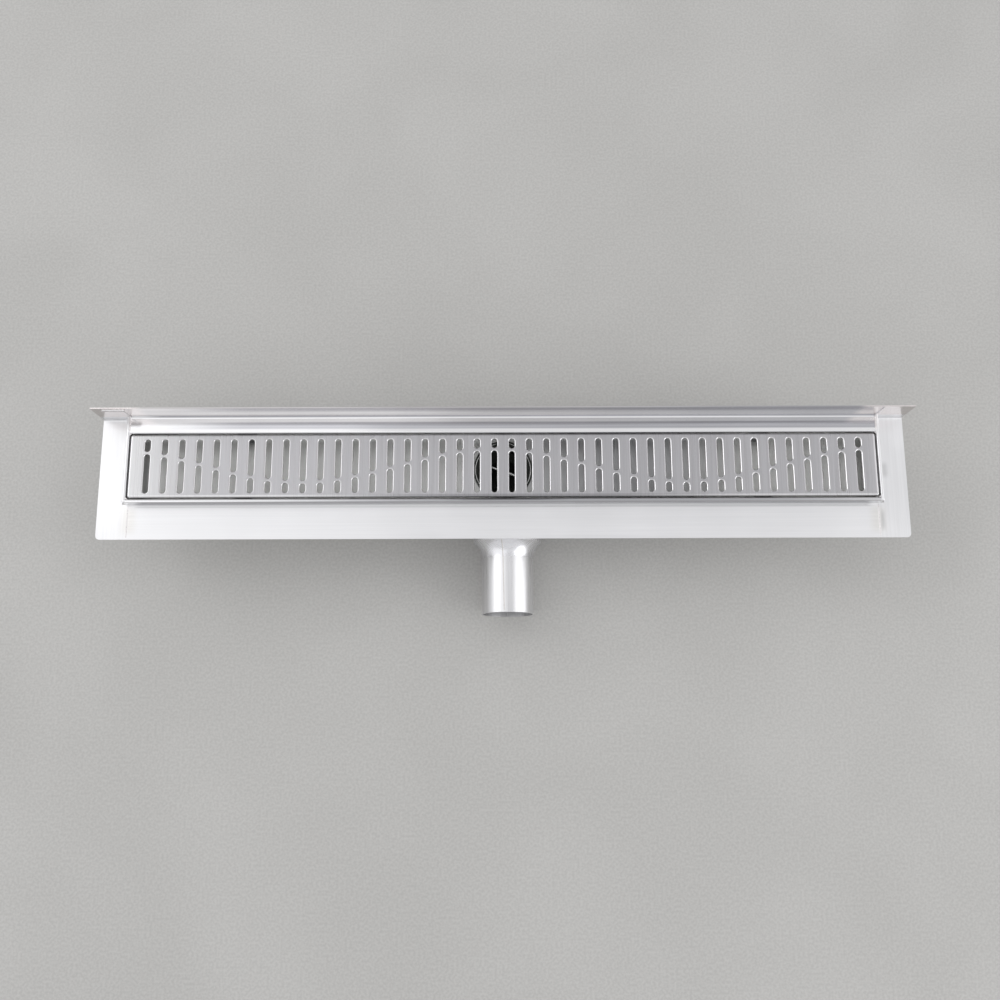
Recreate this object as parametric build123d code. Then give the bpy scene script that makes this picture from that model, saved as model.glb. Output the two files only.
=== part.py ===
from build123d import *
import os
from math import cos, pi, radians, tan

# Wall-type linear shower drain in folded stainless sheet, with a lift-out slotted grate
# and a lift-out odour trap over a round pot with a horizontal outlet.
# The origin is the centre of the pot's underside. X runs along the channel, Y points to
# the wall and Z up, so the outlet leaves towards -Y.

# Sheet metal
sheet = 1.2
fold_radius = 2.0
hem_radius = 0.4

# Channel, with the trough's depth measured to its bed below the grate's top
trough_depth = 20.5
trough_fall = 4.0
bed_margin = 15.0
tile_step = 9.0
upstand_rise = 27.0
back_rim_width = 16.2
rim_width = 3.4
front_flange_width = 33.2
end_flange_width = 25.1
flange_corner_radius = 4.0

# Grate
grate_length = 700.0
grate_width = 60.0
grate_gap = 1.5
grate_sheet = 1.5
grate_skirt = 10.0
grate_corner_radius = 2.0
grate_fold_radius = 1.5

# Slots, each column split by a bridge that follows a wave
slot_columns = 42
slot_width = 5.0
slot_margin = 4.4
shortest_slot = 8.5
bridge_width = 3.0
wave_length = 360.0
wave_shift = -8.5

# Grate rests
rest_inset = 106.0
rest_width = 16.0
rest_ledge = 7.0
rest_floor_gap = 1.0

# Pot, neck and outlet
pot_diameter = 94.0
pot_corner_radius = 8.0
neck_diameter = 66.0
neck_base_gap = 3.0
neck_top_gap = 1.1
neck_length = 34.0
neck_straight = 1.0
neck_slope = 50.0
neck_flare_radius = 19.0
neck_shoulder_radius = 3.5
pipe_diameter = 50.0
pipe_chamfer = 0.3
stub_length = 53.0
outlet_shift = 4.0

# Spigot and trap inlet
hole_edge = 3.0
collar_seat = 3.5
collar_clearance = 0.5
collar_height = 3.0
collar_lip = 1.5
spigot_length = 10.0
spigot_corner = 0.8
trap_clearance = 0.4
trap_wall = 1.5
sleeve_length = 11.0
tube_cone = 8.0
tube_foot_gap = 12.0
groove_drop = 6.0
groove_height = 3.0
groove_wall = 0.9
seal_clearance = 0.05
seal_land = 1.0

# Trap cup and its fins
cup_wall = 1.5
cup_clearance = 1.0
cup_floor_gap = 4.8
cup_rim_gap = 4.3
cup_chamfer = 4.0
water_gap = 6.0
fin_count = 3
fin_thickness = 1.6
fin_height = 10.0
fin_clearance = 0.2
lug_height = 4.0

# Trap handle
bar_diameter = 3.0
bar_drop = 3.8
bar_turn = -20.0
bar_clearance = 0.1

# Levels, from the underside of the pot up
half_sheet = sheet / 2
pot_radius = pot_diameter / 2
pipe_radius = pipe_diameter / 2
neck_radius = neck_diameter / 2
outlet_level = neck_base_gap + neck_radius
lid_bottom = outlet_level + neck_radius + neck_top_gap
lid_top = lid_bottom + sheet
floor_mid = lid_top + sheet
floor_end = floor_mid + trough_fall
grate_level = floor_mid + trough_depth
grate_bottom = grate_level - grate_skirt
flange_level = grate_level - tile_step
upstand_top = grate_level + upstand_rise
rim_mid = grate_level - half_sheet
flange_mid = flange_level - half_sheet
tub_top = flange_level + sheet

# Places along X and Y, from the pot's axis out
trough_half = grate_width / 2 + grate_gap
trough_end = grate_length / 2 + grate_gap
wall_mid = trough_half + half_sheet
rim_outer = trough_half + rim_width
end_rim_outer = trough_end + rim_width
flange_front = rim_outer + front_flange_width
flange_half = end_rim_outer + end_flange_width
upstand_face = trough_half + back_rim_width
neck_end = pot_radius + neck_length
outlet_reach = neck_end + stub_length
slot_reach = grate_width / 2 - slot_margin
wave_height = slot_reach - shortest_slot - bridge_width / 2

# Radii and levels of the trap
trough_hole_radius = trough_half - hole_edge
spigot_radius = trough_hole_radius - collar_seat
collar_radius = trough_hole_radius - collar_clearance
sleeve_radius = spigot_radius - trap_clearance
groove_radius = sleeve_radius - trap_wall
sleeve_inner = groove_radius - groove_wall
cup_radius = spigot_radius - cup_clearance
cup_inner = cup_radius - cup_wall
tube_radius = cup_inner - water_gap
tube_inner = tube_radius - trap_wall
sleeve_bottom = lid_top - sleeve_length
cone_bottom = sleeve_bottom - tube_cone
cup_rim = cone_bottom - cup_rim_gap
cup_bottom = sheet + cup_floor_gap
tube_bottom = cup_bottom + tube_foot_gap
groove_bottom = lid_top - groove_drop - groove_height
bar_level = lid_top - bar_drop


def shifted(points, distance):
    """Points of an open path, moved sideways to its left by a distance."""
    path = [Vector(*point) for point in points]
    ways = [(end - start).normalized() for start, end in zip(path, path[1:])]
    sides = [Vector(-way.Y, way.X) for way in ways]
    moved = [path[0] + sides[0] * distance]
    for corner, before, after in zip(path[1:], sides, sides[1:]):
        moved.append(corner + (before + after) * (distance / (1 + before.dot(after))))
    return moved + [path[-1] + sides[-1] * distance]


def turns_left(points):
    """Whether the path turns left at each of its inner points."""
    path = [Vector(*point) for point in points]
    triples = zip(path, path[1:], path[2:])
    return [(b - a).cross(c - b).Z > 0 for a, b, c in triples]


def folded_section(points, inner_radii):
    """Section of one sheet, folded along its middle line with the given inner radii."""
    left = shifted(points, half_sheet)
    right = shifted(points, -half_sheet)
    folds = list(zip(turns_left(points), inner_radii))
    left_radii = [radius if is_left else radius + sheet for is_left, radius in folds]
    right_radii = [radius + sheet if is_left else radius for is_left, radius in folds]
    one_side = FilletPolyline(*left, radius=left_radii)
    other_side = FilletPolyline(*right, radius=right_radii)
    ends = [Line(left[0], right[0]), Line(left[-1], right[-1])]
    return make_face(one_side.edges() + other_side.edges() + ends)


def cross_extrusion(section, start, end):
    """Extrude a section drawn in Y and Z along X, from start to end."""
    return extrude(Plane.YZ.offset(start) * section, end - start)


def long_extrusion(section, start, end):
    """Extrude a section drawn in X and Z along Y, from start to end."""
    return extrude(Plane.XZ.offset(-start) * section, start - end)


def block(x_range, y_range, z_range):
    """Plain block between the given limits."""
    low = (x_range[0], y_range[0], z_range[0])
    size = [limits[1] - limits[0] for limits in (x_range, y_range, z_range)]
    return Pos(*low) * Box(*size, align=(Align.MIN, Align.MIN, Align.MIN))


def turned(points):
    """Solid of revolution about Z from a closed outline of radius and height."""
    outline = Plane.XZ * make_face(Polyline(*points, close=True))
    return revolve(outline, Axis.Z)


def trough_core(half_width, floor_offset, corner_radius):
    """Solid as large as the trough, with a flat bed in the middle and a fall to it."""
    bed = pot_radius + bed_margin
    outline = [
        (-trough_end, tub_top),
        (-trough_end, floor_end - floor_offset),
        (-bed, floor_mid - floor_offset),
        (bed, floor_mid - floor_offset),
        (trough_end, floor_end - floor_offset),
        (trough_end, tub_top),
    ]
    face = make_face(Polyline(*outline, close=True))
    core = long_extrusion(face, -half_width, half_width)
    lower = [
        edge
        for edge in core.edges()
        if abs(edge.tangent_at(0.5).X) > 0.9 and edge.center().Z < tub_top - sheet
    ]
    return fillet(lower, corner_radius)


def make_channel_body():
    """Upstand, back rim, trough, front rim, riser and front flange, folded from one sheet."""
    upstand_mid = upstand_face + half_sheet
    back = [
        (upstand_mid, upstand_top),
        (upstand_mid, rim_mid),
        (wall_mid, rim_mid),
        (wall_mid, tub_top),
    ]
    front = [
        (-wall_mid, tub_top),
        (-wall_mid, rim_mid),
        (half_sheet - rim_outer, rim_mid),
        (half_sheet - rim_outer, flange_mid),
        (-flange_front, flange_mid),
    ]
    back_face = folded_section(back, [fold_radius, hem_radius])
    front_face = folded_section(front, [hem_radius, hem_radius, fold_radius])
    outer = trough_core(trough_half + sheet, sheet, fold_radius + sheet)
    inner = trough_core(trough_half, 0, fold_radius)
    body = outer - inner
    body += cross_extrusion(back_face, -trough_end, trough_end)
    body += cross_extrusion(front_face, -trough_end, trough_end)
    return body - Pos(0, 0, floor_mid) * Cylinder(trough_hole_radius, trough_fall)


def make_end_plate():
    """Left end: cap, rim, riser, flange and the end of the upstand, folded and welded."""
    cap_mid = -trough_end - half_sheet
    riser_mid = half_sheet - end_rim_outer
    upstand_mid = upstand_face + half_sheet
    foot = -end_rim_outer - fold_radius
    cap_bottom = floor_end - sheet
    down_to_flange = [(riser_mid, rim_mid), (riser_mid, flange_mid), (-flange_half, flange_mid)]
    capped = [(cap_mid, cap_bottom), (cap_mid, rim_mid)] + down_to_flange
    plain = [(-trough_end, rim_mid)] + down_to_flange
    capped_face = folded_section(capped, [hem_radius, hem_radius, fold_radius])
    plain_face = folded_section(plain, [hem_radius, fold_radius])
    cap_half = trough_half + sheet
    plate = long_extrusion(capped_face, -cap_half, cap_half)
    plate += long_extrusion(plain_face, cap_half, upstand_face)
    corner = [(-flange_front, flange_mid), (upstand_mid, flange_mid), (upstand_mid, upstand_top)]
    corner_face = folded_section(corner, [fold_radius])
    plate += cross_extrusion(corner_face, -flange_half, foot)
    thin = (flange_level - sheet, flange_level)
    plate += block((-flange_half, -trough_end), (-flange_front, -rim_outer), thin)
    upstand_depth = (upstand_face, upstand_face + sheet)
    plate += block((foot, -trough_end), upstand_depth, (flange_level - sheet, upstand_top))
    plate += make_rim_corner()
    outer_corner = plate.edges().filter_by(Axis.Z).group_by(Axis.X)[0].sort_by(Axis.Y)[0]
    return fillet(outer_corner, flange_corner_radius)


def make_rim_corner():
    """Closed corner where the end rim meets the front rim, ground round after welding."""
    x_range = (-end_rim_outer, -trough_end)
    y_range = (-rim_outer, -trough_half - sheet)
    corner = block(x_range, y_range, (flange_level - sheet, grate_level))
    top = corner.faces().sort_by(Axis.Z)[-1].edges()
    outside = [top.sort_by(Axis.X)[0], top.sort_by(Axis.Y)[0]]
    upright = corner.edges().filter_by(Axis.Z).sort_by(lambda edge: edge.center().X + edge.center().Y)[0]
    return fillet(outside + [upright], hem_radius + sheet)


def bridge_place(x):
    """Y of the bridge that splits the slots at x, on a wave along the grate."""
    return wave_height * cos(2 * pi * (x - wave_shift) / wave_length)


def slot_face(x, low, high):
    """One round-ended slot across the grate, from low to high in Y."""
    return Pos(x, (low + high) / 2) * SlotOverall(high - low, slot_width, rotation=90)


def make_grate():
    """Plate with its four edges folded down and two slots in each column."""
    outer = Pos(0, 0, grate_level) * Box(
        grate_length, grate_width, grate_skirt, align=(Align.CENTER, Align.CENTER, Align.MAX)
    )
    outer = fillet(outer.edges().filter_by(Axis.Z), grate_corner_radius)
    outer = fillet(outer.faces().sort_by(Axis.Z)[-1].edges(), grate_fold_radius)
    inner = Pos(0, 0, grate_level - grate_sheet) * Box(
        grate_length - 2 * grate_sheet,
        grate_width - 2 * grate_sheet,
        grate_skirt,
        align=(Align.CENTER, Align.CENTER, Align.MAX),
    )
    inner = fillet(inner.edges().filter_by(Axis.Z), grate_corner_radius - grate_sheet)
    pitch = grate_length / (slot_columns + 1)
    slots = []
    for column in range(slot_columns):
        x = pitch * (column + 1) - grate_length / 2
        bridge = bridge_place(x)
        slots.append(slot_face(x, -slot_reach, bridge - bridge_width / 2))
        slots.append(slot_face(x, bridge + bridge_width / 2, slot_reach))
    cutter = extrude(Pos(0, 0, grate_level - 2 * grate_sheet) * Sketch(slots), 3 * grate_sheet)
    return outer - inner - cutter


def make_rest(x):
    """Ledge folded from a strip and welded to the front wall of the trough."""
    leg_mid = half_sheet - trough_half
    ledge_mid = grate_bottom - half_sheet
    leg_bottom = floor_end + rest_floor_gap
    path = [(leg_mid, leg_bottom), (leg_mid, ledge_mid), (rest_ledge - trough_half, ledge_mid)]
    section = folded_section(path, [hem_radius])
    return cross_extrusion(section, x - rest_width / 2, x + rest_width / 2)


def make_pot_lid():
    """Disc that closes the pot, with a spigot pulled down for the trap."""
    spigot_outer = spigot_radius + sheet
    outline = [
        (pot_radius, lid_bottom),
        (pot_radius, lid_top),
        (spigot_radius + spigot_corner, lid_top),
        (spigot_radius, lid_top - spigot_corner),
        (spigot_radius, lid_bottom - spigot_length),
        (spigot_outer, lid_bottom - spigot_length),
        (spigot_outer, lid_bottom),
    ]
    return turned(outline)


def pot_core(inset, corner_radius):
    """Solid as large as the pot, taken in by a wall thickness."""
    radius = pot_radius - inset
    height = lid_bottom - inset
    core = Pos(0, 0, inset) * Cylinder(radius, height, align=(Align.CENTER, Align.CENTER, Align.MIN))
    return fillet(core.faces().sort_by(Axis.Z)[0].edges(), corner_radius)


def outlet_turned(outline):
    """Solid of revolution about the outlet's axis, from reach and radius."""
    axis_point = (outlet_shift, 0, outlet_level)
    along = Plane(origin=axis_point, x_dir=(0, -1, 0), z_dir=(-1, 0, 0))
    return revolve(along * outline, Axis(axis_point, (0, -1, 0)))


def neck_core(inset):
    """Flared neck of the pot, from inside the pot to the pipe, taken in by a wall."""
    slope = radians(neck_slope)
    foot = neck_end - neck_straight - neck_flare_radius * tan(slope / 2)
    shoulder = foot - (neck_radius - pipe_radius) / tan(slope)
    outside = [(0, neck_radius), (shoulder, neck_radius), (foot, pipe_radius), (neck_end, pipe_radius)]
    path = shifted(outside, -inset)
    wall = FilletPolyline(*path, radius=[neck_shoulder_radius - inset, neck_flare_radius + inset])
    rest = Polyline(path[-1], (neck_end, 0), (0, 0), path[0])
    return outlet_turned(make_face(wall.edges() + rest.edges()))


def make_pot_body():
    """Drawn pot with a neck pulled out to the size of the pipe."""
    outer = pot_core(0, pot_corner_radius) + neck_core(0)
    inner = pot_core(sheet, pot_corner_radius - sheet) + neck_core(sheet)
    return outer - inner


def make_outlet_stub():
    """Plain pipe end, welded to the neck."""
    bore = pipe_radius - sheet
    outline = [
        (neck_end, bore),
        (outlet_reach, bore),
        (outlet_reach, pipe_radius - pipe_chamfer),
        (outlet_reach - pipe_chamfer, pipe_radius),
        (neck_end, pipe_radius),
    ]
    return outlet_turned(make_face(Polyline(*outline, close=True)))


def trap_bar(diameter, length):
    """Round bar across the mouth of the trap."""
    bar = Rotation(0, 90, 0) * Cylinder(diameter / 2, length)
    return Pos(0, 0, bar_level) * Rotation(0, 0, bar_turn) * bar


def make_trap_inlet():
    """Collar, sleeve with a ring groove, and dip tube with three fins."""
    outline = [
        (collar_radius, lid_top),
        (collar_radius, lid_top + collar_height),
        (collar_radius - collar_lip, lid_top + collar_height),
        (sleeve_inner, lid_bottom),
        (sleeve_inner, sleeve_bottom),
        (tube_inner, cone_bottom),
        (tube_inner, tube_bottom),
        (tube_radius, tube_bottom),
        (tube_radius, cone_bottom),
        (sleeve_radius, sleeve_bottom),
        (sleeve_radius, groove_bottom),
        (groove_radius, groove_bottom),
        (groove_radius, groove_bottom + groove_height),
        (sleeve_radius, groove_bottom + groove_height),
        (sleeve_radius, lid_top),
    ]
    inlet = turned(outline)
    root = tube_radius - trap_wall / 2
    fin_top = cup_rim - trap_clearance
    fin = block((root, cup_inner - fin_clearance), fin_width(), (fin_top - fin_height, fin_top))
    fin += block((root, cup_radius - fin_clearance), fin_width(), lug_levels())
    for index in range(fin_count):
        inlet += Rotation(0, 0, fin_angle(index)) * fin
    return inlet - trap_bar(bar_diameter + 2 * bar_clearance, 2 * spigot_radius)


def fin_width(clearance=0.0):
    """Limits of a fin across its thickness."""
    return (-fin_thickness / 2 - clearance, fin_thickness / 2 + clearance)


def lug_levels(clearance=0.0):
    """Limits in height of the lugs that carry the cup."""
    middle = cup_rim - trap_clearance - fin_height / 2
    return (middle - lug_height / 2 - clearance, middle + lug_height / 2 + clearance)


def fin_angle(index):
    """Direction of one fin round the tube."""
    return 90 + 360 / fin_count * index


def make_trap_cup():
    """Cup that holds the water seal, with a window for each lug."""
    outline = [
        (0, cup_bottom),
        (cup_radius - cup_chamfer, cup_bottom),
        (cup_radius, cup_bottom + cup_chamfer),
        (cup_radius, cup_rim),
        (cup_inner, cup_rim),
        (cup_inner, cup_bottom + cup_chamfer),
        (cup_inner - cup_chamfer + cup_wall, cup_bottom + cup_wall),
        (0, cup_bottom + cup_wall),
    ]
    cup = turned(outline)
    window = block((tube_radius, spigot_radius), fin_width(fin_clearance), lug_levels(fin_clearance))
    for index in range(fin_count):
        cup -= Rotation(0, 0, fin_angle(index)) * window
    return cup


def make_seal_ring():
    """Rubber ring with a narrow outer land, between the groove and the spigot."""
    inner = groove_radius + seal_clearance
    outer = spigot_radius - seal_clearance
    low = groove_bottom + seal_clearance
    high = groove_bottom + groove_height - seal_clearance
    middle = (low + high) / 2
    shoulder = (inner + outer) / 2
    outline = [
        (inner, low),
        (inner, high),
        (shoulder, high),
        (outer, middle + seal_land / 2),
        (outer, middle - seal_land / 2),
        (shoulder, low),
    ]
    return turned(outline)


def make_parts():
    """All pieces by node name."""
    end_plate = make_end_plate()
    parts = {
        "channel_body": make_channel_body(),
        "end_plate_left": end_plate,
        "end_plate_right": mirror(end_plate, Plane.YZ),
        "grate": make_grate(),
        "pot_lid": make_pot_lid(),
        "pot_body": make_pot_body(),
        "outlet_stub": make_outlet_stub(),
        "trap_inlet": make_trap_inlet(),
        "trap_cup": make_trap_cup(),
        "trap_seal_ring": make_seal_ring(),
        "trap_handle": trap_bar(bar_diameter, 2 * (sleeve_radius - bar_clearance)),
    }
    rest_place = grate_length / 2 - rest_inset
    for side, x in (("left", -rest_place), ("right", rest_place)):
        rest = make_rest(x)
        parts["grate_rest_front_" + side] = rest
        parts["grate_rest_back_" + side] = mirror(rest, Plane.XZ)
    return parts


os.makedirs("parts", exist_ok=True)
for name, piece in make_parts().items():
    export_step(piece, "parts/" + name + ".step")
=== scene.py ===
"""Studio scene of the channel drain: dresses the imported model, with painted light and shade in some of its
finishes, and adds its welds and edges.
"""

import logging
import math
from dataclasses import dataclass
from enum import Enum
from typing import Iterable, Sequence

import bpy
from mathutils import Matrix, Vector


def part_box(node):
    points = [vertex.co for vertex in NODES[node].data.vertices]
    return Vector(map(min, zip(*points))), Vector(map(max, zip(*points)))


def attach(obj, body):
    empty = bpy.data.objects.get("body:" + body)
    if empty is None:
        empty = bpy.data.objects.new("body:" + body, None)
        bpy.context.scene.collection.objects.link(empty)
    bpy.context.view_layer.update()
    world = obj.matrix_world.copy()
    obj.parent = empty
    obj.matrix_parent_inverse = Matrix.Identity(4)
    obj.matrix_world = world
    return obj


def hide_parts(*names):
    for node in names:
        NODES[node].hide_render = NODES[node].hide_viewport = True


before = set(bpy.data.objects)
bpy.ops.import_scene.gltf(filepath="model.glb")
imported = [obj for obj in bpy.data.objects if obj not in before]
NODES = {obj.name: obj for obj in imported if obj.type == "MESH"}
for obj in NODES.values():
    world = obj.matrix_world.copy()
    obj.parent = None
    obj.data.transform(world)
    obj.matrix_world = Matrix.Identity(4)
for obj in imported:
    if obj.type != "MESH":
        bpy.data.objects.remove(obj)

MM = 0.001
DOUBLE = 1e-6
SLIVER = 0.12 * MM
FLAT_ANGLE = math.radians(0.2)
BEAD_SMOOTH = math.radians(50.0)
TIP_SHARE = 0.45
BODY = "root"
LOG = logging.getLogger("drain")

Colour = tuple[float, float, float]
Triple = tuple[float, float, float]
Socket = bpy.types.NodeSocket
Piece = bpy.types.Object


class Slot(Enum):
    """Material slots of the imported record."""

    CHANNEL = "channel_sheet"
    ENDS = "end_sheet"
    GRATE = "grate_steel"
    RESTS = "rest_steel"
    POT = "pot_steel"
    PIPE = "pipe_steel"
    TRAP = "trap_plastic"
    SEAL = "seal_rubber"
    HANDLE = "handle_steel"


# Node boards


class Board:
    """Node board of one material, built round its Principled shader."""

    def __init__(self, name: str) -> None:
        """Start an empty material of that name.

        Args:
            name: the material's name.
        """
        self.material = bpy.data.materials.new(name)
        self.material.use_nodes = True
        self.tree = self.material.node_tree
        self.shader = self.tree.nodes["Principled BSDF"]
        self.place = self.add("ShaderNodeTexCoord").outputs["Object"]

    def add(self, kind: str, **settings: object) -> bpy.types.Node:
        """Add a node and set its own properties.

        Args:
            kind: the node's type name.
            **settings: properties of the node by name.

        Returns:
            The new node.
        """
        node = self.tree.nodes.new(kind)
        for name, value in settings.items():
            setattr(node, name, value)
        return node

    def feed(self, socket: Socket, value: object) -> None:
        """Link a socket to another one, or write a plain value on it.

        Args:
            socket: the input that is fed.
            value: an output to link, or a number, colour or vector.
        """
        if isinstance(value, bpy.types.NodeSocket):
            self.tree.links.new(value, socket)
        elif isinstance(value, tuple) and len(value) == 3 and socket.type == "RGBA":
            socket.default_value = (*value, 1.0)
        else:
            socket.default_value = value

    def shade(self, **values: object) -> None:
        """Feed sockets of the Principled shader, with underscores for spaces in their names."""
        for name, value in values.items():
            self.feed(self.shader.inputs[name.replace("_", " ")], value)

    def noise(self, scale: Triple, detail: float = 3.0, twist: float = 0.0) -> Socket:
        """Noise on the object's coordinates.

        Args:
            scale: turns per metre along X, Y and Z.
            detail: octaves of finer noise.
            twist: distortion of the pattern.

        Returns:
            The noise value, about 0.5 on average.
        """
        mapping = self.add("ShaderNodeMapping")
        self.feed(mapping.inputs["Vector"], self.place)
        self.feed(mapping.inputs["Scale"], scale)
        noise = self.add("ShaderNodeTexNoise")
        self.feed(noise.inputs["Vector"], mapping.outputs[0])
        self.feed(noise.inputs["Scale"], 1.0)
        self.feed(noise.inputs["Detail"], detail)
        self.feed(noise.inputs["Distortion"], twist)
        return noise.outputs["Fac"]

    def remap(self, value: object, low: float, high: float, first: float, last: float) -> Socket:
        """Smooth step of a value from low to high, onto first to last.

        Args:
            value: the number or socket that is stepped.
            low: where the step starts.
            high: where it ends.
            first: the result up to low.
            last: the result from high on.

        Returns:
            The stepped value.
        """
        node = self.add("ShaderNodeMapRange", interpolation_type="SMOOTHSTEP")
        for socket, fed in zip(node.inputs[:5], (value, low, high, first, last)):
            self.feed(socket, fed)
        return node.outputs[0]

    def maths(self, operation: str, first: object, second: object = 0.0) -> Socket:
        """Result of one arithmetic step.

        Args:
            operation: the step, as the Math node names it.
            first: its first number or socket.
            second: its second one.

        Returns:
            The result.
        """
        node = self.add("ShaderNodeMath", operation=operation)
        self.feed(node.inputs[0], first)
        self.feed(node.inputs[1], second)
        return node.outputs[0]

    def blend(self, share: object, first: object, second: object) -> Socket:
        """Colour from first to second by a share.

        Args:
            share: 0 for the first colour and 1 for the second.
            first: the first colour or socket.
            second: the second one.

        Returns:
            The blended colour.
        """
        node = self.add("ShaderNodeMix", data_type="RGBA")
        self.feed(node.inputs[0], share)
        self.feed(node.inputs[6], first)
        self.feed(node.inputs[7], second)
        return node.outputs[2]

    def between(self, share: object, first: object, second: object) -> Socket:
        """Number from first to second by a share.

        Args:
            share: 0 for the first number and 1 for the second.
            first: the first number or socket.
            second: the second one.

        Returns:
            The blended number.
        """
        node = self.add("ShaderNodeMix", data_type="FLOAT")
        self.feed(node.inputs[0], share)
        self.feed(node.inputs[2], first)
        self.feed(node.inputs[3], second)
        return node.outputs[0]

    def inside(self, zone: "Zone") -> Socket:
        """Share of a box zone at each point: 1 inside, 0 outside, soft at its limits.

        Args:
            zone: the box.

        Returns:
            The share.
        """
        parts = self.add("ShaderNodeSeparateXYZ")
        self.feed(parts.inputs[0], self.place)
        share: object = 1.0
        for axis, limits in enumerate((zone.x, zone.y, zone.z)):
            for limit, rising in zip(limits, (0.0, 1.0)):
                if limit is None:
                    continue
                place, soft = limit * MM, zone.soft[axis] * MM
                step = self.remap(parts.outputs[axis], place - soft, place + soft, rising, 1.0 - rising)
                share = self.maths("MULTIPLY", share, step)
        return share

    def bump(self, height: Socket, strength: float, depth: float, below: Socket | None = None) -> Socket:
        """Normal from a height pattern.

        Args:
            height: the pattern.
            strength: how much of it shows.
            depth: depth of the pattern in millimetres.
            below: a normal that this one is laid over.

        Returns:
            The bumped normal.
        """
        node = self.add("ShaderNodeBump")
        self.feed(node.inputs["Height"], height)
        self.feed(node.inputs["Strength"], strength)
        self.feed(node.inputs["Distance"], depth * MM)
        if below is not None:
            self.feed(node.inputs["Normal"], below)
        return node.outputs[0]


# Finishes


@dataclass(frozen=True)
class Zone:
    """Box in millimetres in which a finish changes, soft along each axis. None is an open limit."""

    x: tuple[float | None, float | None] = (None, None)
    y: tuple[float | None, float | None] = (None, None)
    z: tuple[float | None, float | None] = (None, None)
    soft: Triple = (1.0, 1.0, 1.0)


@dataclass(frozen=True)
class Touch:
    """What a zone of a steel piece looks like where it was worked on, or where light and shade are painted
    on it.

    A streak is the share by which long streaks change its tone, and a swirl is how strongly
    the marks of a grinding disc show.
    """

    zone: Zone
    tone: Colour
    roughness: float
    streak: float = 0.0
    swirl: float = 0.0


@dataclass(frozen=True)
class Steel:
    """Stainless steel with a drawn grain, soft cloudy tone, worked zones and zones of painted light and
    shade.
    """

    name: str
    tone: Colour
    roughness: float
    grain: Triple
    grain_tone: float = 0.06
    grain_depth: float = 0.012
    cloud: float = 0.05
    streak: Triple | None = None
    streak_tone: float = 0.0
    touches: tuple[Touch, ...] = ()

    def material(self) -> bpy.types.Material:
        """Build the finish.

        Returns:
            Its material.
        """
        board = Board(self.name)
        fine = board.noise(self.grain, detail=4.0)
        cloud = board.noise((14.0, 14.0, 14.0), detail=2.0)
        tone: object = self.tone
        rough: object = self.roughness
        streak: object = self.streak_tone
        for touch in self.touches:
            share = board.inside(touch.zone)
            tone = board.blend(share, tone, touch.tone)
            rough = board.between(share, rough, touch.roughness)
            streak = board.between(share, streak, touch.streak)
        shade = board.remap(fine, 0.25, 0.75, 1.0 - self.grain_tone, 1.0 + self.grain_tone)
        soft = board.remap(cloud, 0.3, 0.7, 1.0 - self.cloud, 1.0 + self.cloud)
        shade = board.maths("MULTIPLY", shade, soft)
        if self.streak:
            band = board.remap(board.noise(self.streak, detail=2.0), 0.3, 0.7, -1.0, 1.0)
            band = board.maths("ADD", board.maths("MULTIPLY", band, streak), 1.0)
            shade = board.maths("MULTIPLY", shade, band)
        scaled = board.add("ShaderNodeVectorMath", operation="SCALE")
        board.feed(scaled.inputs[0], tone)
        board.feed(scaled.inputs[3], shade)
        rough = board.maths("MULTIPLY", rough, board.remap(fine, 0.2, 0.8, 0.85, 1.2))
        normal = board.bump(fine, 0.5, self.grain_depth)
        normal = self.swirled(board, normal)
        board.shade(Base_Color=scaled.outputs[0], Roughness=rough, Metallic=1.0, Normal=normal)
        return board.material

    def swirled(self, board: Board, normal: Socket) -> Socket:
        """Lay the marks of the grinding disc over a normal, inside the ground zones.

        Args:
            board: the finish's node board.
            normal: the normal so far.

        Returns:
            The normal with the marks.
        """
        for touch in self.touches:
            if touch.swirl:
                marks = board.noise((260.0, 260.0, 260.0), detail=3.0, twist=1.6)
                height = board.maths("MULTIPLY", marks, board.inside(touch.zone))
                normal = board.bump(height, touch.swirl, 0.25, normal)
        return normal


@dataclass(frozen=True)
class Moulded:
    """Moulded plastic or rubber, slightly uneven in tone and gloss."""

    name: str
    tone: Colour
    roughness: float
    pores: float = 900.0

    def material(self) -> bpy.types.Material:
        """Build the finish.

        Returns:
            Its material.
        """
        board = Board(self.name)
        pores = board.noise((self.pores, self.pores, self.pores), detail=3.0)
        cloud = board.noise((60.0, 60.0, 60.0), detail=2.0)
        lighter = tuple(min(1.0, part * 1.35) for part in self.tone)
        board.shade(
            Base_Color=board.blend(cloud, self.tone, lighter),
            Roughness=board.remap(pores, 0.3, 0.7, self.roughness * 0.85, self.roughness * 1.15),
            Normal=board.bump(pores, 0.25, 0.05),
        )
        return board.material


@dataclass(frozen=True)
class Stone:
    """Trowelled grey cement floor, plain, with faint clouds and grit."""

    name: str = "floor_cement"
    dark: Colour = (0.47, 0.465, 0.45)
    light: Colour = (0.50, 0.495, 0.48)

    def material(self) -> bpy.types.Material:
        """Build the finish.

        Returns:
            Its material.
        """
        board = Board(self.name)
        cloud = board.noise((5.0, 5.0, 5.0), detail=5.0, twist=0.4)
        grit = board.noise((420.0, 420.0, 420.0), detail=3.0)
        ground = board.blend(board.remap(cloud, 0.3, 0.7, 0.0, 1.0), self.dark, self.light)
        grain = board.remap(grit, 0.3, 0.7, 0.93, 1.06)
        scaled = board.add("ShaderNodeVectorMath", operation="SCALE")
        board.feed(scaled.inputs[0], ground)
        board.feed(scaled.inputs[3], grain)
        board.shade(
            Base_Color=scaled.outputs[0],
            Roughness=0.75,
            Normal=board.bump(grit, 0.3, 0.4),
        )
        return board.material


# Work in edit mode


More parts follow.
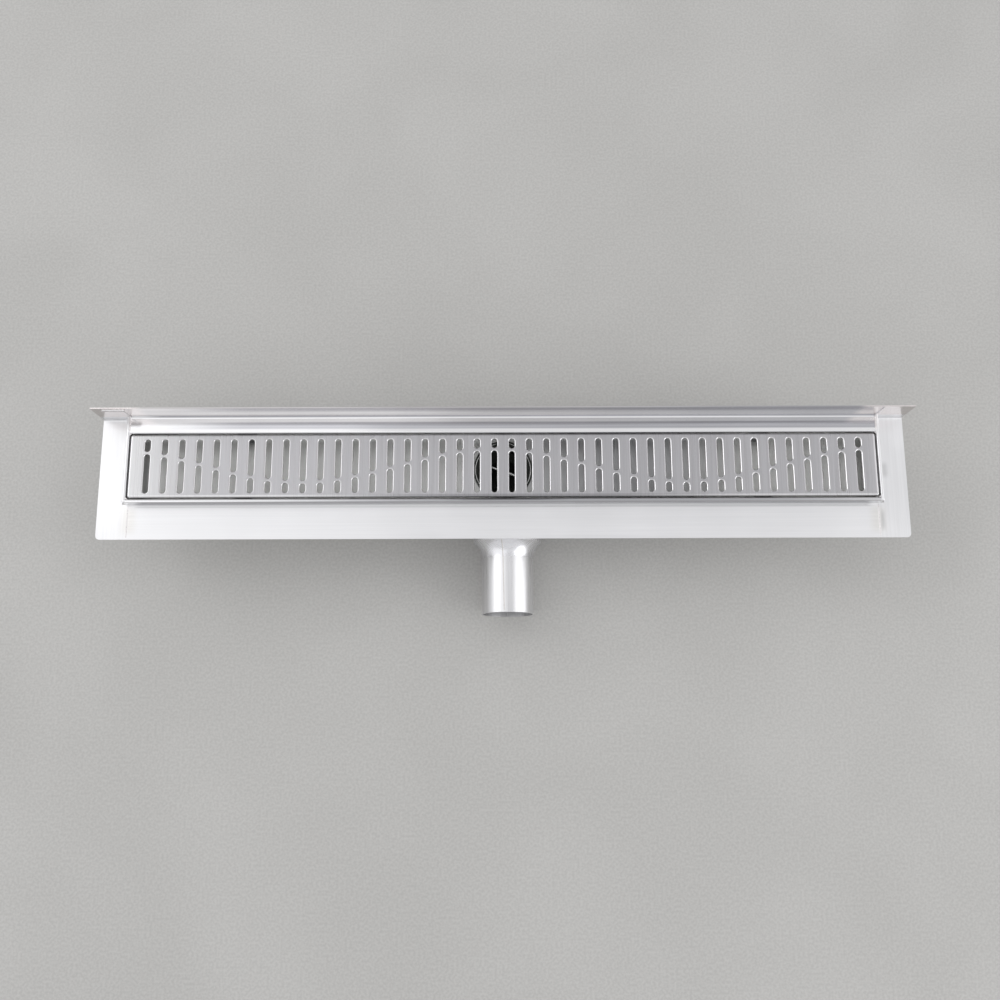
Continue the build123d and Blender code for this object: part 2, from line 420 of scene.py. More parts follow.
def take(piece: Piece) -> None:
    """Select one object alone and make it the active one.

    Args:
        piece: the object.
    """
    if bpy.context.mode != "OBJECT":
        bpy.ops.object.mode_set(mode="OBJECT")
    bpy.ops.object.select_all(action="DESELECT")
    piece.select_set(True)
    bpy.context.view_layer.objects.active = piece


def free_hand() -> None:
    """Leave nothing selected."""
    if bpy.context.mode != "OBJECT":
        bpy.ops.object.mode_set(mode="OBJECT")
    bpy.ops.object.select_all(action="DESELECT")


def node_copy(node: str, name: str, cuts: Iterable[float] = ()) -> Piece:
    """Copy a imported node's mesh into a new object, merged, with its flat faces joined and no sliver edges.

    Args:
        node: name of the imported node.
        name: name of the copy.
        cuts: places along X, in metres, where flat faces stay apart, so that none has a hole.

    Returns:
        The copy, unparented.
    """
    piece = bpy.data.objects.new(name, NODES[node].data.copy())
    bpy.context.scene.collection.objects.link(piece)
    piece.data.materials.clear()
    take(piece)
    bpy.ops.object.mode_set(mode="EDIT")
    bpy.ops.mesh.select_all(action="SELECT")
    bpy.ops.mesh.remove_doubles(threshold=DOUBLE)
    for place in cuts:
        bpy.ops.mesh.select_all(action="SELECT")
        bpy.ops.mesh.bisect(plane_co=(place, 0.0, 0.0), plane_no=(1.0, 0.0, 0.0))
        bpy.ops.mesh.mark_seam(clear=False)
    bpy.ops.mesh.select_all(action="SELECT")
    bpy.ops.mesh.dissolve_limited(angle_limit=FLAT_ANGLE, delimit={"SEAM"})
    bpy.ops.mesh.remove_doubles(threshold=SLIVER)
    bpy.ops.mesh.mark_seam(clear=True)
    bpy.ops.mesh.select_all(action="DESELECT")
    bpy.ops.object.mode_set(mode="OBJECT")
    return piece


def settle(piece: Piece, name: str, material: bpy.types.Material) -> Piece:
    """Apply a piece's place and modifiers, dress it and let it ride on the drain.

    Args:
        piece: the modelled piece.
        name: its name.
        material: its finish.

    Returns:
        The piece.
    """
    take(piece)
    for modifier in list(piece.modifiers):
        bpy.ops.object.modifier_apply(modifier=modifier.name)
    bpy.ops.object.transform_apply(location=True, rotation=True, scale=True)
    piece.name = name
    piece.data.name = name
    piece.data.materials.clear()
    piece.data.materials.append(material)
    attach(piece, BODY)
    free_hand()
    LOG.info("%s: %d faces", name, len(piece.data.polygons))
    return piece


def weigh_normals(piece: Piece) -> None:
    """Let a piece's large flat faces keep their own shading beside small rounded ones.

    Args:
        piece: the piece.
    """
    modifier = piece.modifiers.new("flat_shading", "WEIGHTED_NORMAL")
    modifier.mode = "FACE_AREA"
    modifier.weight = 100
    modifier.keep_sharp = True


def roughen(piece: Piece, size: float, depth: float) -> None:
    """Make a bead uneven with a procedural cloud pattern.

    Args:
        piece: the bead.
        size: size of the lumps in millimetres.
        depth: full height of the lumps in millimetres.
    """
    texture = bpy.data.textures.new(piece.name + "_lumps", "CLOUDS")
    texture.noise_scale = size * MM
    modifier = piece.modifiers.new("lumps", "DISPLACE")
    modifier.texture = texture
    modifier.texture_coords = "LOCAL"
    modifier.strength = depth * MM


@dataclass(frozen=True)
class Stop:
    """One ring of a bead: its place and radius in millimetres."""

    place: Triple
    radius: float


def bead(stops: Sequence[Stop], sides: int, up: str) -> Piece:
    """Round bead of weld metal: rings added along its way and bridged one to the next.

    Args:
        stops: the rings along the bead.
        sides: corners of each ring.
        up: axis of each ring that is held towards that axis of the drain.

    Returns:
        The closed bead.
    """
    free_hand()
    places = [Vector(stop.place) * MM for stop in stops]
    ahead = [(end - start).normalized() for start, end in zip(places, places[1:])]
    ways = [ahead[0], *[(one + two).normalized() for one, two in zip(ahead, ahead[1:])], ahead[-1]]
    piece = None
    for stop, place, way in zip(stops, places, ways):
        turn = way.to_track_quat("Z", up).to_euler()
        bpy.ops.mesh.primitive_circle_add(
            vertices=sides, radius=stop.radius * MM, location=place, rotation=turn
        )
        if piece is None:
            piece = bpy.context.object
            bpy.ops.object.transform_apply(location=True, rotation=True, scale=True)
            bpy.ops.object.mode_set(mode="EDIT")
    bpy.ops.object.mode_set(mode="OBJECT")
    for ring in range(len(stops) - 1):
        span = range(ring * sides, (ring + 2) * sides)
        for edge in piece.data.edges:
            first, second = edge.vertices
            edge.select = first in span and second in span and first // sides == second // sides
        bpy.ops.object.mode_set(mode="EDIT")
        bpy.ops.mesh.bridge_edge_loops()
        bpy.ops.mesh.select_all(action="DESELECT")
        bpy.ops.object.mode_set(mode="OBJECT")
    bpy.ops.object.mode_set(mode="EDIT")
    bpy.ops.mesh.select_mode(type="EDGE")
    bpy.ops.mesh.select_non_manifold(extend=False, use_wire=False, use_multi_face=False, use_verts=False)
    bpy.ops.mesh.fill_holes(sides=0)
    bpy.ops.mesh.select_all(action="SELECT")
    bpy.ops.mesh.normals_make_consistent(inside=False)
    bpy.ops.mesh.select_all(action="DESELECT")
    bpy.ops.object.mode_set(mode="OBJECT")
    bpy.ops.object.shade_smooth_by_angle(angle=BEAD_SMOOTH)
    return piece


def stepped(start: Triple, end: Triple, radius: float, pitch: float, tips: bool = True) -> list[Stop]:
    """Rings of a straight run of bead, thin at its tips.

    Args:
        start: where it starts, in millimetres.
        end: where it ends.
        radius: its radius.
        pitch: distance between rings.
        tips: whether the first and last rings are thin.

    Returns:
        The rings.
    """
    first, last = Vector(start), Vector(end)
    count = max(2, round((last - first).length / pitch))
    stops = []
    for step in range(count + 1):
        share = step / count
        thin = TIP_SHARE if tips and step in (0, count) else 1.0
        stops.append(Stop(tuple(first.lerp(last, share)), radius * thin))
    return stops


# The drain


@dataclass
class Grate:
    """Slotted grate, with the rolled-in edges that punching leaves round each slot."""

    columns: int = 42
    edge_roll: float = 1.35
    roll_steps: int = 5
    smooth_angle: float = 55.0
    border: float = 3.0
    level_slack: float = 0.02
    roll_skin: float = 0.12
    top_skin: float = 1.3
    tone: Colour = (0.50, 0.495, 0.51)
    # Painted light: a paler tone on the grate's left end, where the light falls from the left.
    painted_left_light_tone: Colour = (0.63, 0.63, 0.635)
    # Painted highlight: a brighter tone on the grate's front and end folds.
    painted_fold_shading_tone: Colour = (0.72, 0.715, 0.725)
    # Painted shade: a darker tone on the middle of the grate's front.
    painted_middle_shade_tone: Colour = (0.36, 0.355, 0.37)
    # The slots' rolled edges: glossier from punching, and brighter as a painted highlight.
    rolled_burnish_and_highlight_tone: Colour = (0.80, 0.795, 0.80)
    # Painted light: a brighter tone under the grate's top skin, on its underside and the lower slot walls.
    painted_underside_light_tone: Colour = (0.92, 0.92, 0.91)

    def finish(self, top: float) -> Steel:
        """Brushed across the grate on top, with painted light on its left end, painted highlights on its
        front and end folds, painted shade in the middle of its front, rolled slot edges that are glossier
        and brighter as a painted highlight, and painted light beneath.

        Args:
            top: height of its top face in metres.

        Returns:
            The finish.
        """
        level = top / MM
        beneath = Zone(z=(None, level - self.top_skin), soft=(1.0, 1.0, 0.15))
        rolled = Zone((-347.0, 347.0), (-27.0, 27.0), (None, level - self.roll_skin), (0.3, 0.3, 0.1))
        front = Zone(y=(None, -27.9), soft=(1.0, 0.4, 1.0))
        middle = Zone((-130.0, 170.0), (None, -27.4), soft=(90.0, 0.4, 1.0))
        left = Zone(x=(None, -312.0), soft=(45.0, 1.0, 1.0))
        ends = [Zone(x=reach, soft=(0.5, 1.0, 1.0)) for reach in ((None, -347.9), (347.9, None))]
        return Steel(
            name="grate_brushed",
            tone=self.tone,
            roughness=0.30,
            grain=(1600.0, 14.0, 14.0),
            grain_tone=0.06,
            grain_depth=0.015,
            cloud=0.02,
            streak=(160.0, 2.0, 2.0),
            streak_tone=0.03,
            touches=(
                # Painted light and shade: light on the left end, highlights on the front and end folds,
                # shade in the middle of the front; the rolled edges are partly a painted highlight and the
                # underside is painted light.
                Touch(left, self.painted_left_light_tone, 0.3),
                # Painted highlights on the grate's front fold and, below, on its end folds.
                Touch(front, self.painted_fold_shading_tone, 0.3),
                Touch(middle, self.painted_middle_shade_tone, 0.3),
                *[Touch(end, self.painted_fold_shading_tone, 0.3) for end in ends],
                # Rolled edges glossier from punching and brighter as a painted highlight.
                Touch(rolled, self.rolled_burnish_and_highlight_tone, 0.14),
                # Painted light under the grate's top skin.
                Touch(beneath, self.painted_underside_light_tone, 0.35),
            ),
        )

    def on_slot(self, places: Iterable[Vector], low: Vector, high: Vector) -> bool:
        """Whether places lie in the top face, away from its border.

        Args:
            places: the places in metres.
            low: the grate's lowest corner.
            high: its highest corner.

        Returns:
            True when all of them do.
        """
        border, slack = self.border * MM, self.level_slack * MM
        return all(
            place.z > high.z - slack
            and low.x + border < place.x < high.x - border
            and low.y + border < place.y < high.y - border
            for place in places
        )

    def build(self) -> Piece:
        """Roll the slots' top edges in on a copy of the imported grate.

        Returns:
            The dressed grate.
        """
        low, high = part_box("grate")
        pitch = (high.x - low.x) / (self.columns + 1)
        middles = [low.x + pitch * (column + 1) for column in range(self.columns)]
        plate = node_copy("grate", "grate_plate", middles)
        walls = {
            key
            for face in plate.data.polygons
            if abs(face.normal.z) < 0.5
            for key in face.edge_keys
        }
        count = 0
        for edge in plate.data.edges:
            ends = [plate.data.vertices[index].co for index in edge.vertices]
            edge.select = edge.key in walls and self.on_slot(ends, low, high)
            count += edge.select
        take(plate)
        bpy.ops.object.mode_set(mode="EDIT")
        bpy.ops.mesh.select_mode(type="EDGE")
        bpy.ops.mesh.bevel(offset=self.edge_roll * MM, segments=self.roll_steps, affect="EDGES")
        bpy.ops.object.mode_set(mode="OBJECT")
        bpy.ops.object.shade_smooth_by_angle(angle=math.radians(self.smooth_angle))
        weigh_normals(plate)
        LOG.info("grate: %d slot edges rolled", count)
        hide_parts("grate")
        return settle(plate, "grate_plate", self.finish(high.z).material())


@dataclass
class Channel:
    """Folded channel, its end plates and the welds that join them."""

    seam_x: float = 351.5
    flange_top: float = 84.0
    rim_top: float = 93.0
    upstand_top: float = 120.0
    flange_edge: float = -68.1
    riser_face: float = -34.9
    upstand_face: float = 47.7
    trough_wall: float = 31.5
    trough_floor: float = 76.5
    fold: float = 2.6
    bead_radius: float = 0.9
    bead_sunk: float = 0.65
    back_sunk: float = 0.45
    upright_radius: float = 0.75
    bend_radius: float = 0.8
    corner_size: float = 2.1
    corner_smooth: float = 40.0
    tone: Colour = (0.81, 0.81, 0.82)
    rim_tone: Colour = (0.93, 0.93, 0.94)
    # Painted reflection: a grey band on the back rim and along its fold.
    painted_reflection_tone: Colour = (0.56, 0.56, 0.59)
    # Painted shade: the upstand's face darker than the rim.
    painted_upstand_shade_tone: Colour = (0.60, 0.585, 0.585)
    # Painted shade: on the upstand's right part and on the front rim.
    shaded_tone: Colour = (0.46, 0.46, 0.475)
    # Painted shade: a darker tone on the riser's front fold.
    painted_fold_shading_tone: Colour = (0.45, 0.44, 0.45)
    # Painted shade: at the foot of the riser and in the middle of the trough.
    painted_mid_shade_tone: Colour = (0.66, 0.66, 0.67)
    # Painted shade: the dark gap in the middle of the front rim's inner edge.
    painted_gap_shade_tone: Colour = (0.22, 0.22, 0.23)
    # Painted light: a brighter tone inside the trough.
    painted_trough_light_tone: Colour = (0.95, 0.95, 0.94)
    ground_tone: Colour = (0.74, 0.70, 0.69)
    scuffed_tone: Colour = (0.77, 0.76, 0.745)
    smudge_tone: Colour = (0.55, 0.55, 0.55)

    def seam_marks(self, side: int) -> Touch:
        """Scuffs of the grinding wheel along the seam over the front flange, on one side.

        Args:
            side: -1 for the left end and 1 for the right.

        Returns:
            The scuffed zone and its look.
        """
        reach = sorted((side * (self.seam_x + 5.0), side * (self.seam_x - 7.0)))
        zone = Zone(tuple(reach), (self.flange_edge + 6.0, self.riser_face - 4.0), soft=(5.0, 5.0, 1.0))
        return Touch(zone, self.scuffed_tone, 0.36, 0.03, 0.35)

    def painted_light_bands(self) -> tuple[Touch, ...]:
        """Painted light and shade along the rims, upstand and flange, laid over a brighter, glossier rim: a
        painted reflection band on the back rim, painted shade along the back fold, on the upstand and more
        on its right part, on the front rim, its front fold and the foot of its riser, and darkest in the
        middle of the front rim's inner edge.

        Returns:
            The bands, each laid over those before it.
        """
        rim = Zone(y=(-36.0, None), z=(84.5, None), soft=(1.0, 0.6, 0.6))
        # A painted reflection band on the back rim, then painted shade on the back fold, the upstand, its
        # right part, the front fold, the riser's foot and the middle of the front rim.
        band = Zone((-285.0, None), (35.6, 42.2), (92.0, 94.0), (45.0, 0.9, 0.6))
        back_fold_shade = Zone((-330.0, None), (47.0, None), (92.0, 95.4), (12.0, 0.3, 0.4))
        upstand = Zone(y=(46.0, None), z=(95.5, None), soft=(1.0, 0.6, 0.6))
        upstand_right_shade = Zone((120.0, None), (46.0, None), (95.5, None), (160.0, 0.6, 0.6))
        front_fold_shade = Zone((-340.0, 340.0), (None, -34.2), (88.5, 92.4), (6.0, 0.25, 0.5))
        front_bend_shade = Zone((-344.0, 344.0), (-38.4, -34.6), (None, 86.0), (4.0, 0.5, 0.5))
        front_middle_shade = Zone((-42.0, 48.0), (-33.4, -31.0), (91.0, None), (26.0, 0.5, 0.5))
        front_rim_shade = Zone((-190.0, 344.0), (-36.0, -30.0), (90.0, None), (130.0, 0.5, 0.5))
        return (
            # After the rim, each zone is painted light and shade.
            Touch(rim, self.rim_tone, 0.15, 0.05),
            Touch(front_rim_shade, self.shaded_tone, 0.2, 0.05),
            Touch(band, self.painted_reflection_tone, 0.14, 0.16),
            Touch(back_fold_shade, self.painted_reflection_tone, 0.2, 0.05),
            Touch(upstand, self.painted_upstand_shade_tone, 0.17, 0.07),
            Touch(upstand_right_shade, self.shaded_tone, 0.17, 0.07),
            Touch(front_fold_shade, self.painted_fold_shading_tone, 0.3),
            Touch(front_bend_shade, self.painted_mid_shade_tone, 0.3, 0.04),
            Touch(front_middle_shade, self.painted_gap_shade_tone, 0.3),
        )

    def sheet_finish(self) -> Steel:
        """Mill finish of the channel: pale flange, glossier rim and upstand with painted light and shade,
        painted light inside the trough and painted shade in its middle.

        Returns:
            The finish.
        """
        trough = Zone(y=(-31.6, 31.6), z=(None, 91.0), soft=(1.0, 0.4, 0.4))
        shaded = Zone((30.0, 190.0), (-31.6, 31.6), (None, 91.0), (60.0, 0.4, 0.4))
        reaches = ((None, -336.0), (332.0, None))
        corners = [Zone(reach, (45.0, None), (96.0, None), (6.0, 1.0, 1.5)) for reach in reaches]
        ground = [Touch(corner, self.ground_tone, 0.24, 0.0, 0.35) for corner in corners]
        return Steel(
            name="channel_sheet",
            tone=self.tone,
            roughness=0.42,
            grain=(10.0, 1100.0, 1100.0),
            grain_tone=0.02,
            grain_depth=0.006,
            cloud=0.02,
            streak=(2.2, 330.0, 330.0),
            streak_tone=0.01,
            touches=(
                *self.painted_light_bands(),
                # Painted light inside the trough, and painted shade in its middle.
                Touch(trough, self.painted_trough_light_tone, 0.45),
                Touch(shaded, self.painted_mid_shade_tone, 0.45),
                self.seam_marks(-1),
                self.seam_marks(1),
                *ground,
            ),
        )

    def end_finish(self) -> Steel:
        """Finish of the end plates: pale sheet, ground by hand on the upstand and at the seams.

        Returns:
            The finish.
        """
        upstand = Zone(z=(94.0, None))
        smudge = Zone((357.0, 362.0), (-10.0, 3.0), (83.0, None), (3.5, 3.5, 3.5))
        stain = Zone((353.0, 356.5), (-60.0, -43.0), (83.0, None), (2.0, 4.0, 3.5))
        return Steel(
            name="end_sheet",
            tone=self.tone,
            roughness=0.36,
            grain=(500.0, 14.0, 14.0),
            grain_tone=0.03,
            grain_depth=0.008,
            cloud=0.05,
            touches=(
                Touch(upstand, self.ground_tone, 0.22, 0.0, 0.35),
                Touch(smudge, self.smudge_tone, 0.45, 0.0, 0.2),
                self.seam_marks(-1),
                self.seam_marks(1),
                Touch(stain, self.smudge_tone, 0.4, 0.0, 0.3),
            ),
        )

    def weld_finish(self) -> Steel:
        """Ground weld metal.

        Returns:
            The finish.
        """
        return Steel(
            name="ground_weld",
            tone=(0.70, 0.68, 0.68),
            roughness=0.30,
            grain=(700.0, 700.0, 700.0),
            grain_tone=0.08,
            grain_depth=0.05,
            cloud=0.06,
        )

    def front_seam(self, side: int) -> list[Stop]:
        """Ground seam over the front flange, up to the foot of the riser, on one side.

        Args:
            side: -1 for the left end and 1 for the right.

        Returns:
            The seam's rings.
        """
        level = self.flange_top - self.bead_sunk
        x = side * self.seam_x
        start = (x, self.flange_edge + 0.4, level)
        end = (x, self.riser_face - 0.4, level)
        return stepped(start, end, self.bead_radius, 2.0)

    def back_seam(self, side: int) -> list[Stop]:
        """Seam over the back rim and up the upstand, on one side.

        Args:
            side: -1 for the left end and 1 for the right.

        Returns:
            The seam's rings.
        """
        level = self.rim_top - self.back_sunk
        face = self.upstand_face + 0.1
        x = side * self.seam_x
        start, bend = (x, self.trough_wall + 1.2, level), (x, face - self.fold, level)
        over = stepped(start, bend, self.bead_radius, 1.5)
        foot, tip = (x, face, level + self.fold), (x, face, self.upstand_top - 1.1)
        up = stepped(foot, tip, self.upright_radius, 2.0)
        over[-1] = Stop(over[-1].place, self.bead_radius)
        up[0] = Stop(up[0].place, self.bend_radius)
        return over + up

    def lump(self) -> list[Stop]:
        """Ragged weld left standing on the left end of the upstand, just below its top edge.

        Returns:
            The weld's rings.
        """
        face = self.upstand_face
        run = stepped((-370.5, face - 0.7, 117.4), (-348.5, face - 0.7, 117.7), 1.5, 1.1)
        return [
            Stop(stop.place, stop.radius * (0.75 + 0.35 * abs(math.sin(1.9 * step))))
            for step, stop in enumerate(run)
        ]

    def corner(self, side: int, wall: int, material: bpy.types.Material, name: str) -> Piece:
        """Weld that fills one upright corner of the trough.

        Args:
            side: -1 for the left end and 1 for the right.
            wall: -1 for the front wall and 1 for the back.
            material: its finish.
            name: its name.

        Returns:
            The weld.
        """
        size, half = self.corner_size, self.corner_size / 2
        top, bottom = self.rim_top - 0.4, self.trough_floor + 0.6
        height = top - bottom
        place = Vector((side * (self.seam_x - half), wall * (self.trough_wall - half), bottom + height / 2))
        scale = (size * MM, size * MM, height * MM)
        free_hand()
        bpy.ops.mesh.primitive_cube_add(size=1.0, location=place * MM, scale=scale)
        piece = bpy.context.object
        bpy.ops.object.transform_apply(location=True, rotation=True, scale=True)
        bpy.ops.object.mode_set(mode="EDIT")
        bpy.ops.mesh.select_all(action="SELECT")
        bpy.ops.mesh.bisect(
            plane_co=place * MM,
            plane_no=(-side, -wall, 0.0),
            use_fill=True,
            clear_outer=True,
        )
        bpy.ops.mesh.select_all(action="SELECT")
        bpy.ops.mesh.subdivide(number_cuts=3)
        bpy.ops.mesh.normals_make_consistent(inside=False)
        bpy.ops.object.mode_set(mode="OBJECT")
        roughen(piece, 3.0, 0.25)
        bpy.ops.object.shade_smooth_by_angle(angle=math.radians(self.corner_smooth))
        return settle(piece, name, material)

    def build(self) -> None:
        """Dress the sheets and add their welds."""
        NODES["channel_body"].data.materials[0] = self.sheet_finish().material()
        ends = self.end_finish().material()
        weld = self.weld_finish().material()
        for side, word in ((-1, "left"), (1, "right")):
            NODES["end_plate_" + word].data.materials[0] = ends
            front = bead(self.front_seam(side), 12, "X")
            roughen(front, 2.5, 0.3)
            settle(front, "seam_front_" + word, weld)
            back = bead(self.back_seam(side), 12, "X")
            roughen(back, 2.0, 0.3)
            settle(back, "seam_back_" + word, weld)
            for wall, place in ((-1, "front"), (1, "back")):
                self.corner(side, wall, weld, "corner_weld_" + place + "_" + word)
        ragged = bead(self.lump(), 12, "Y")
        roughen(ragged, 1.6, 0.6)
        settle(ragged, "weld_lump_left", weld)


@dataclass
class Rests:
    """Folded ledges that carry the grate, painted dark as the shade they sit in."""

    # Painted shade: a dark tone for the ledges, which sit in shade between grate and trough.
    tone: Colour = (0.35, 0.35, 0.36)

    def build(self) -> None:
        """Dress the four ledges."""
        material = Steel(
            name="rest_strip_painted_shade",
            tone=self.tone,
            roughness=0.4,
            grain=(14.0, 700.0, 700.0),
        ).material()
        for name in NODES:
            if name.startswith("grate_rest"):
                NODES[name].data.materials[0] = material


@dataclass
class Pot:
    """Pot with its flared neck and pipe, their long seam and the round weld under the lid."""

    radius: float = 47.0
    lid_bottom: float = 70.1
    weld_scales: int = 230
    scale_tilt: float = 35.0
    pipe_axis_x: float = 4.0
    pipe_axis_z: float = 36.0
    seam_start_y: float = -56.0
    seam_end_y: float = -133.4
    seam_rings: int = 34
    seam_turn: float = -11.0
    seam_drift: float = 3.5
    seam_radius: float = 0.65
    seam_tip: float = 0.4
    seam_sunk: float = 0.45

    def drawn(self) -> Steel:
        """Satin drawn steel of the pot, glossier on its neck.

        Returns:
            The finish.
        """
        neck = Zone(y=(None, -46.5), soft=(1.0, 2.0, 1.0))
        return Steel(
            name="pot_drawn",
            tone=(0.70, 0.70, 0.71),
            roughness=0.30,
            grain=(25.0, 25.0, 900.0),
            grain_tone=0.05,
            grain_depth=0.012,
            cloud=0.05,
            touches=(Touch(neck, (0.78, 0.78, 0.80), 0.27),),
        )

    def pipe(self) -> Steel:
        """Bright welded pipe with faint marks along it.

        Returns:
            The finish.
        """
        return Steel(
            name="pipe_bright",
            tone=(0.78, 0.78, 0.79),
            roughness=0.3,
            grain=(900.0, 16.0, 900.0),
            grain_tone=0.04,
            grain_depth=0.008,
            cloud=0.04,
        )

    def seam_stops(self) -> list[Stop]:
        """Rings of the long seam, laid on the neck and the pipe by casting rays at them.

        Returns:
            The seam's rings.
        """
        stops = []
        for step in range(self.seam_rings + 1):
            share = step / self.seam_rings
            y = self.seam_start_y + (self.seam_end_y - self.seam_start_y) * share
            angle = math.radians(self.seam_turn + self.seam_drift * share)
            out = Vector((math.sin(angle), 0.0, math.cos(angle)))
            axis = Vector((self.pipe_axis_x, y, self.pipe_axis_z)) * MM
            hits = []
            for node in ("pot_body", "outlet_stub"):
                found, place, _, _ = NODES[node].ray_cast(axis + out * 0.1, -out)
                if found:
                    hits.append((place - axis).length)
            if hits:
                place = (axis + out * (max(hits) - self.seam_sunk * MM)) / MM
                at_tip = step in (0, self.seam_rings)
                stops.append(Stop(tuple(place), self.seam_tip if at_tip else self.seam_radius))
        return stops

    def ring(self, name: str, level: float, radius: float, material: bpy.types.Material) -> Piece:
        """Round weld under the lid: one scale of weld metal, spun into a ring of scales.

        Args:
            name: its name.
            level: its height in millimetres.
            radius: radius of the ring.
            material: its finish.

        Returns:
            The weld.
        """
        free_hand()
        bpy.ops.mesh.primitive_uv_sphere_add(
            segments=8,
            ring_count=5,
            radius=1.0 * MM,
            location=Vector((radius, 0.0, level)) * MM,
            scale=(0.85, 1.0, 0.8),
            rotation=(0.0, math.radians(self.scale_tilt), 0.0),
        )
        piece = bpy.context.object
        bpy.ops.object.transform_apply(location=True, rotation=True, scale=True)
        bpy.ops.object.mode_set(mode="EDIT")
        bpy.ops.mesh.select_all(action="SELECT")
        bpy.ops.mesh.spin(
            steps=self.weld_scales,
            dupli=True,
            angle=2 * math.pi,
            center=(0.0, 0.0, level * MM),
            axis=(0.0, 0.0, 1.0),
        )
        bpy.ops.mesh.select_all(action="SELECT")
        bpy.ops.mesh.remove_doubles(threshold=DOUBLE)
        bpy.ops.mesh.normals_make_consistent(inside=False)
        bpy.ops.object.mode_set(mode="OBJECT")
        bpy.ops.object.shade_smooth()
        return settle(piece, name, material)

    def build(self) -> None:
        """Dress the pot and pipe and add their seams."""
        drawn = self.drawn().material()
        NODES["pot_body"].data.materials[0] = drawn
        NODES["pot_lid"].data.materials[0] = drawn
        NODES["outlet_stub"].data.materials[0] = self.pipe().material()
        weld = Steel(
            name="bright_weld",
            tone=(0.62, 0.60, 0.58),
            roughness=0.3,
            grain=(500.0, 500.0, 500.0),
            grain_tone=0.08,
        ).material()
        seam = bead(self.seam_stops(), 10, "X")
        roughen(seam, 3.0, 0.08)
        settle(seam, "pipe_seam", weld)
        self.ring("pot_weld", self.lid_bottom, self.radius, weld)


@dataclass
class Trap:
    """Odour trap: moulded insert, cup, rubber ring, wire handle, and a bright steel ring on its lip that
    paints a highlight.
    """

    # Radius, height and thickness of the ring that paints a highlight on the lip's edge.
    lip_radius: float = 26.2
    lip_level: float = 74.0
    lip_wire: float = 0.45

    def build(self) -> None:
        """Dress the trap and add a bright steel ring inside its collar, a painted highlight on the lip's
        edge.
        """
        plastic = Moulded("trap_plastic", (0.035, 0.038, 0.034), 0.42).material()
        for name in ("trap_inlet", "trap_cup"):
            NODES[name].data.materials[0] = plastic
        rubber = Moulded("seal_rubber", (0.02, 0.02, 0.02), 0.6).material()
        NODES["trap_seal_ring"].data.materials[0] = rubber
        wire = Steel(
            name="handle_wire",
            tone=(0.92, 0.92, 0.91),
            roughness=0.09,
            grain=(900.0, 900.0, 60.0),
        ).material()
        NODES["trap_handle"].data.materials[0] = wire
        free_hand()
        # Painted highlight: a bright steel ring inside the collar, on the lip's edge.
        bpy.ops.mesh.primitive_torus_add(
            location=(0.0, 0.0, self.lip_level * MM),
            major_radius=self.lip_radius * MM,
            minor_radius=self.lip_wire * MM,
            major_segments=144,
            minor_segments=10,
        )
        lip = bpy.context.object
        roughen(lip, 6.0, 0.1)
        bpy.ops.object.shade_smooth()
        settle(lip, "trap_lip_highlight", wire)


# Studio


@dataclass(frozen=True)
class Lamp:
    """Soft light box: its place and size in metres, and the radiance of its face."""

    name: str
    place: Triple
    width: float
    depth: float
    radiance: float


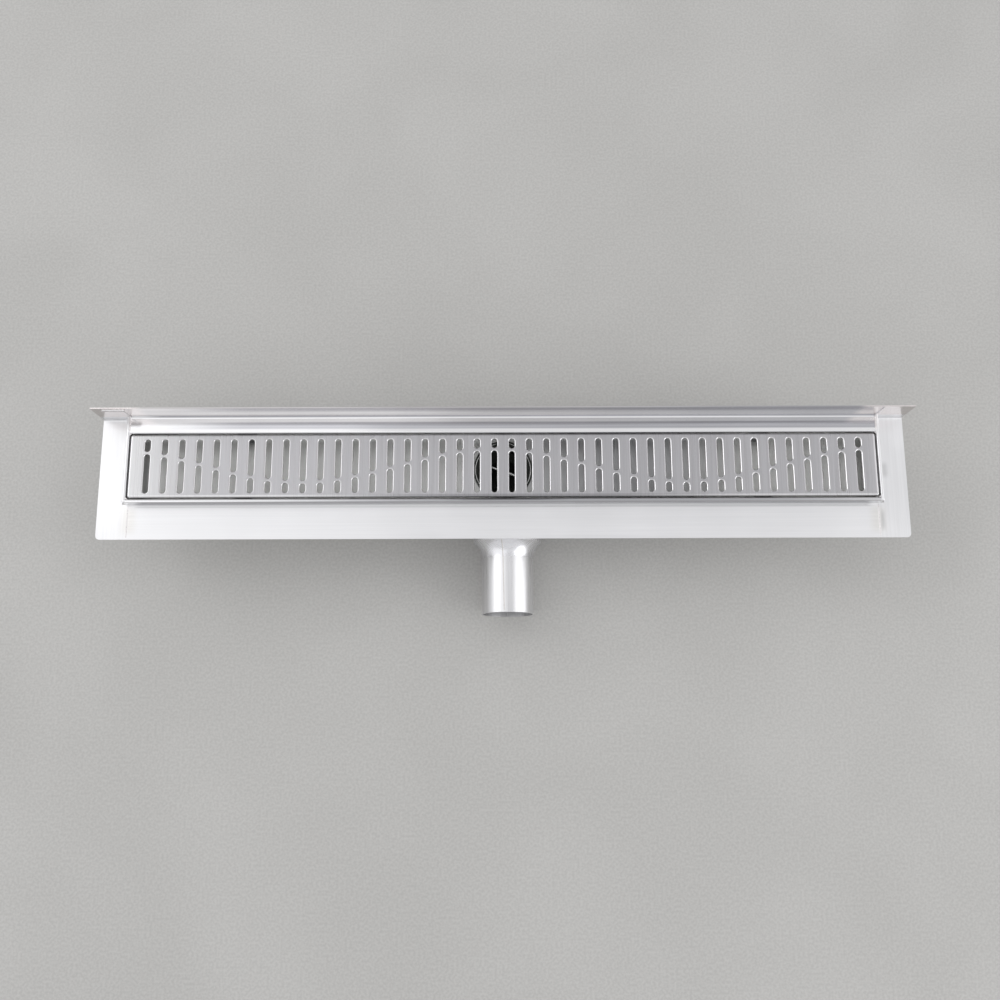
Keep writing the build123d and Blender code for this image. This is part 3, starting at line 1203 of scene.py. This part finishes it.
@dataclass
class Studio:
    """Camera, floor and light, as in the photograph."""

    camera_place: Triple = (-4.1, -234.4, 1051.1)
    elevation: float = 78.15
    azimuth: float = -0.30
    roll: float = 0.12
    focal_pixels: float = 1054.0
    image_pixels: float = 1000.0
    sensor: float = 36.0
    floor_radius: float = 6.0
    floor_drop: float = 0.05
    room_tone: Colour = (0.76, 0.76, 0.77)
    lamps: tuple[Lamp, ...] = (
        Lamp("key_light", (-1.9, 0.9, 1.7), 1.3, 1.3, 1.6),
        Lamp("left_box", (-1.7, -0.3, 2.24), 2.3, 3.4, 0.38),
        Lamp("right_box", (2.4, -0.3, 1.5), 1.6, 3.0, 0.95),
        Lamp("right_strip", (2.1, -1.3, 1.1), 0.5, 1.2, 2.6),
    )

    def camera(self) -> None:
        """Set the camera up by its place, its angles and its focal length in pixels."""
        data = bpy.data.cameras.new("camera")
        camera = bpy.data.objects.new("camera", data)
        bpy.context.scene.collection.objects.link(camera)
        data.sensor_width = self.sensor
        data.lens = self.focal_pixels / self.image_pixels * self.sensor
        data.clip_start, data.clip_end = 0.05, 50.0
        rise, turn = math.radians(self.elevation), math.radians(self.azimuth)
        level = math.cos(rise)
        back = Vector((math.sin(turn) * level, -math.cos(turn) * level, math.sin(rise)))
        right = (-back).cross(Vector((0.0, 0.0, 1.0))).normalized()
        upward = right.cross(-back)
        spin = Matrix.Rotation(math.radians(self.roll), 4, "Z")
        basis = Matrix((right, upward, back)).transposed().to_4x4()
        camera.matrix_world = Matrix.Translation(Vector(self.camera_place) * MM) @ basis @ spin
        bpy.context.scene.camera = camera

    def floor(self) -> None:
        """Lay a wide cement floor under the pot, a hair below it so that no two faces share a plane."""
        free_hand()
        bpy.ops.mesh.primitive_circle_add(
            vertices=96,
            radius=self.floor_radius,
            fill_type="NGON",
            location=(0.0, 0.0, -self.floor_drop * MM),
        )
        floor = bpy.context.object
        floor.name = "floor"
        floor.data.materials.append(Stone().material())
        free_hand()

    def hang(self, lamp: Lamp) -> None:
        """Hang one soft light box that faces the drain and stays out of the picture.

        Args:
            lamp: the light box.
        """
        data = bpy.data.lights.new(lamp.name, "AREA")
        data.shape = "RECTANGLE"
        data.size, data.size_y = lamp.width, lamp.depth
        data.energy = lamp.radiance * math.pi * lamp.width * lamp.depth
        box = bpy.data.objects.new(lamp.name, data)
        bpy.context.scene.collection.objects.link(box)
        box.location = lamp.place
        box.rotation_euler = (-Vector(lamp.place)).to_track_quat("-Z", "Y").to_euler()
        box.visible_camera = False

    def room(self) -> None:
        """Surround the drain with one pale tone, which lights it and is its background too."""
        world = bpy.data.worlds.new("room")
        bpy.context.scene.world = world
        world.use_nodes = True
        walls = world.node_tree.nodes["Background"]
        walls.inputs["Color"].default_value = (*self.room_tone, 1.0)
        walls.inputs["Strength"].default_value = 1.0

    def build(self) -> None:
        """Set up the whole studio."""
        self.camera()
        self.floor()
        self.room()
        for lamp in self.lamps:
            self.hang(lamp)
        bpy.context.scene.view_settings.view_transform = "Standard"


def main() -> None:
    """Build the studio and then the drain, piece by piece."""
    logging.basicConfig(level=logging.INFO, format="%(name)s: %(message)s")
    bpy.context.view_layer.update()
    Studio().build()
    for part in (Channel(), Rests(), Grate(), Pot(), Trap()):
        part.build()
        LOG.info("%s done", type(part).__name__)


if __name__ == "__main__":
    main()
